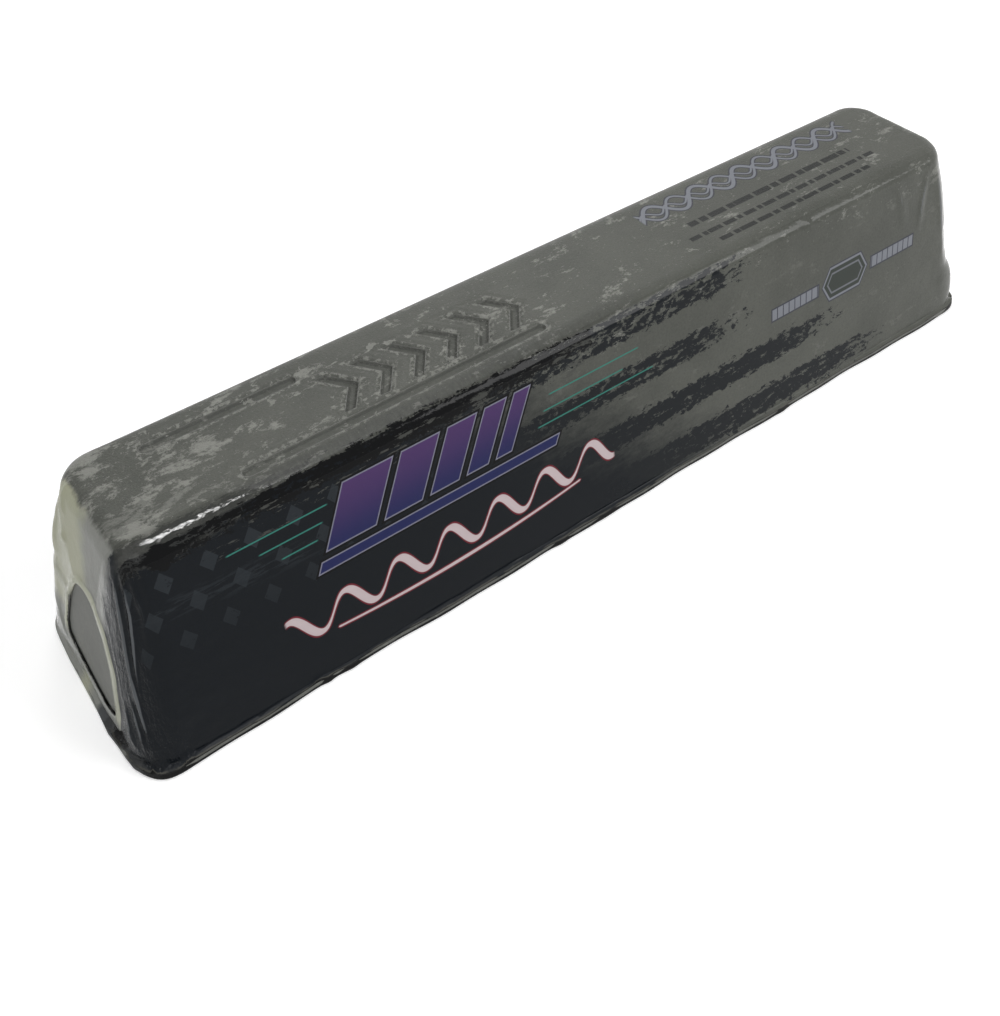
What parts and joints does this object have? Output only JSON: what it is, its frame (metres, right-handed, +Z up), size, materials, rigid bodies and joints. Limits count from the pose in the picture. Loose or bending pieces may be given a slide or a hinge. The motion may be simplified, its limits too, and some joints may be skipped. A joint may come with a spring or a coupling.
{
  "type": "buffing compound bar",
  "caption": "Cast bar of grey cutting compound with drafted sides and an uneven poured lip, wrapped in a printed shrink sleeve that leaves a window open at each end.",
  "frame": {"origin": "middle of the wrap's underside, on the floor that the bar rests on", "axes": "+X along the bar, +Y across it towards the back, +Z up towards the narrow face that lay on the mould's floor"},
  "size_m": [0.2608, 0.0579, 0.05],
  "materials": {
    "compound": "dull mid grey, grit bound in grease and wax, faintly mottled",
    "printed_film": "glossy shrink film, clear over the grey bar and printed dark along one side"
  },
  "bodies": {
    "root": {"compound_bar": "compound", "shrink_sleeve": "printed_film"}
  },
  "joints": []
}
